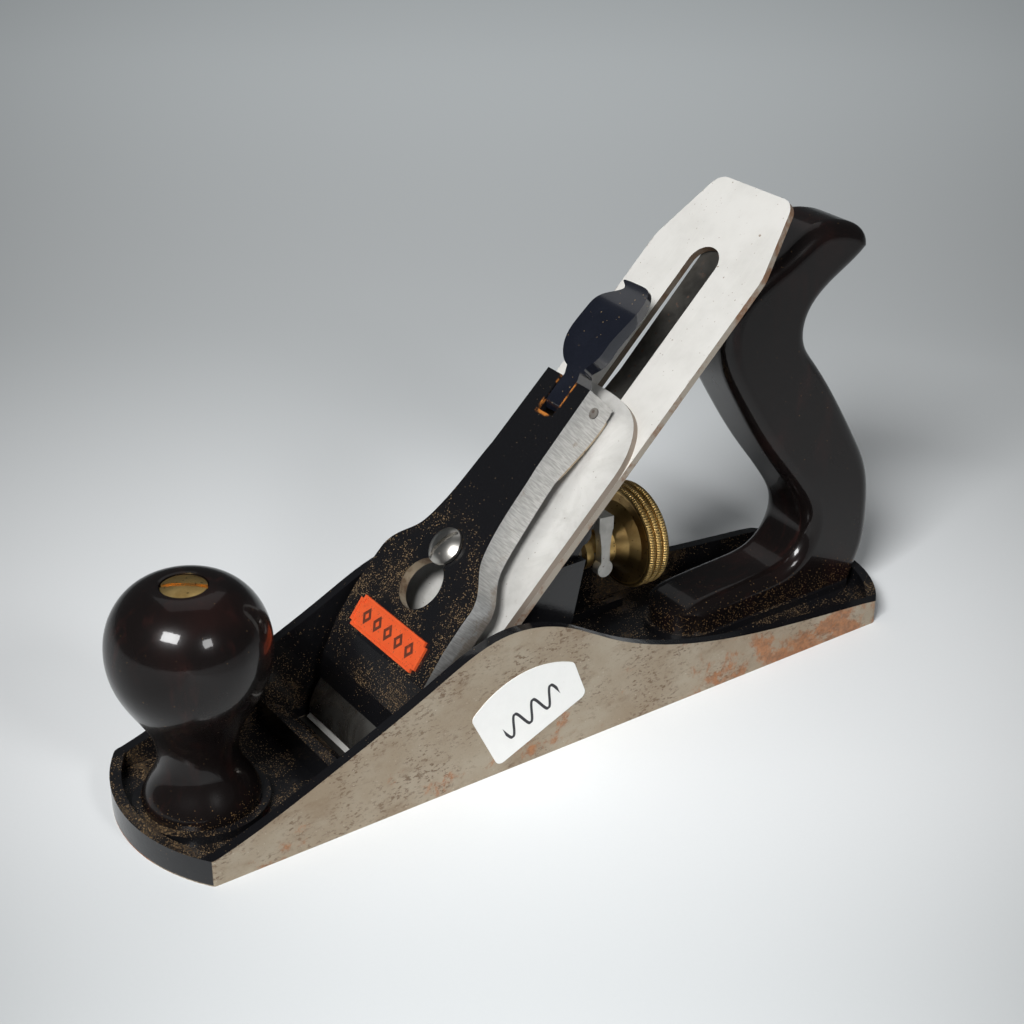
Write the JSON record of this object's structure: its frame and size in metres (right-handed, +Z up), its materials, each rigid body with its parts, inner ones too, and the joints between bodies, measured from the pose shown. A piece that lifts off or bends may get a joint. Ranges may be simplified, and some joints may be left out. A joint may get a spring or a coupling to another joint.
{
  "type": "bench hand plane",
  "caption": "Adjustable cast-iron bench plane: frog on a machined seat, double iron held by a lever cap with cam, depth and lateral adjusters, knob and rear handle.",
  "frame": {"origin": "on the sole, under the middle of the length and width", "axes": "+X from toe to heel, +Z up; the left cheek is at -Y"},
  "size_m": [0.243, 0.0566, 0.1341],
  "materials": {
    "japanned_iron": "black japanning, ground outside, some rust",
    "dark_wood": "dark stained hardwood, glossy varnish",
    "brass": "aged brass",
    "bolt_steel": "dull steel",
    "iron_steel": "ground tool steel with light rust at the edges",
    "cap_steel": "polished steel with brown stains",
    "ground_casting": "ground iron, dusty",
    "cam_steel": "blue-black glossy finish",
    "panel_paint": "orange-red enamel",
    "label_paper": "white paper"
  },
  "bodies": {
    "plane_body": {"body_casting": "japanned_iron", "front_knob": "dark_wood", "knob_bolt": "bolt_steel", "knob_nut": "brass", "tote": "dark_wood", "tote_bolt": "bolt_steel", "tote_nut": "brass", "frog_screws": "bolt_steel", "frog_washers": "bolt_steel", "lot_label": "label_paper"},
    "frog_body": {"frog": "japanned_iron", "frog_clip": "bolt_steel", "frog_clip_screw": "bolt_steel", "depth_stud": "bolt_steel", "yoke_pin": "bolt_steel", "lateral_rivet": "bolt_steel", "lever_cap_screw": "bolt_steel"},
    "frog_adjuster": {"frog_adjusting_screw": "bolt_steel"},
    "iron_carrier": {"cap_iron_screw": "bolt_steel"},
    "double_iron": {"iron": "iron_steel", "cap_iron": "cap_steel"},
    "depth_yoke": {"yoke": "ground_casting"},
    "depth_wheel": {"depth_nut": "brass"},
    "lateral_arm": {"lateral_lever": "bolt_steel"},
    "lateral_roller": {"lateral_disc": "bolt_steel"},
    "lever_cap_body": {"lever_cap": "japanned_iron", "lever_cap_spring": "bolt_steel", "spring_rivet": "bolt_steel", "cam_pin": "bolt_steel", "name_panel": "panel_paint"},
    "cam_body": {"cam_lever": "cam_steel"}
  },
  "joints": [
    {"name": "frog_slide", "type": "slide", "parent": "plane_body", "child": "frog_body", "axis": [1, 0, 0], "range_m": [-0.0015, 0.001]},
    {"name": "frog_adjust_spin", "type": "hinge", "parent": "frog_body", "child": "frog_adjuster", "pos_m": [0, 0, 0.013], "axis": [1, 0, 0], "range_deg": [-430, 290]},
    {"name": "depth_slide", "type": "slide", "parent": "frog_body", "child": "iron_carrier", "axis": [0.7071, 0, 0.7071], "range_m": [-0.0022, 0.0014]},
    {"name": "iron_yaw", "type": "hinge", "parent": "iron_carrier", "child": "double_iron", "pos_m": [0.00936, 0, 0.06576], "axis": [-0.7071, 0, 0.7071], "range_deg": [-0.9, 0.9]},
    {"name": "yoke_pivot", "type": "hinge", "parent": "frog_body", "child": "depth_yoke", "pos_m": [0.01077, 0, 0.05162], "axis": [0, 1, 0], "range_deg": [-9.2, 5.9]},
    {"name": "depth_nut_slide", "type": "slide", "parent": "frog_body", "child": "depth_wheel", "axis": [1, 0, 0], "range_m": [-0.0013, 0.002]},
    {"name": "lateral_pivot", "type": "hinge", "parent": "frog_body", "child": "lateral_arm", "pos_m": [0.02598, 0, 0.08026], "axis": [-0.7071, 0, 0.7071], "range_deg": [-5.5, 5.5]},
    {"name": "roller_spin", "type": "hinge", "parent": "lateral_arm", "child": "lateral_roller", "pos_m": [0.01841, 0, 0.07509], "axis": [-0.7071, 0, 0.7071], "continuous": true},
    {"name": "lever_cap_slide", "type": "slide", "parent": "frog_body", "child": "lever_cap_body", "axis": [0.7071, 0, 0.7071], "range_m": [0, 0.0116]},
    {"name": "cam_pivot", "type": "hinge", "parent": "lever_cap_body", "child": "cam_body", "pos_m": [0.01431, 0, 0.08627], "axis": [0, -1, 0], "range_deg": [0, 80]}
  ],
  "couplings": [
    {"joint": "frog_adjust_spin", "follows": "frog_slide", "rad_per_m": 4947.4},
    {"joint": "yoke_pivot", "follows": "depth_slide", "rad_per_m": 71.4},
    {"joint": "depth_nut_slide", "follows": "depth_slide", "ratio": -0.9},
    {"joint": "lateral_pivot", "follows": "iron_yaw", "ratio": -6}
  ]
}
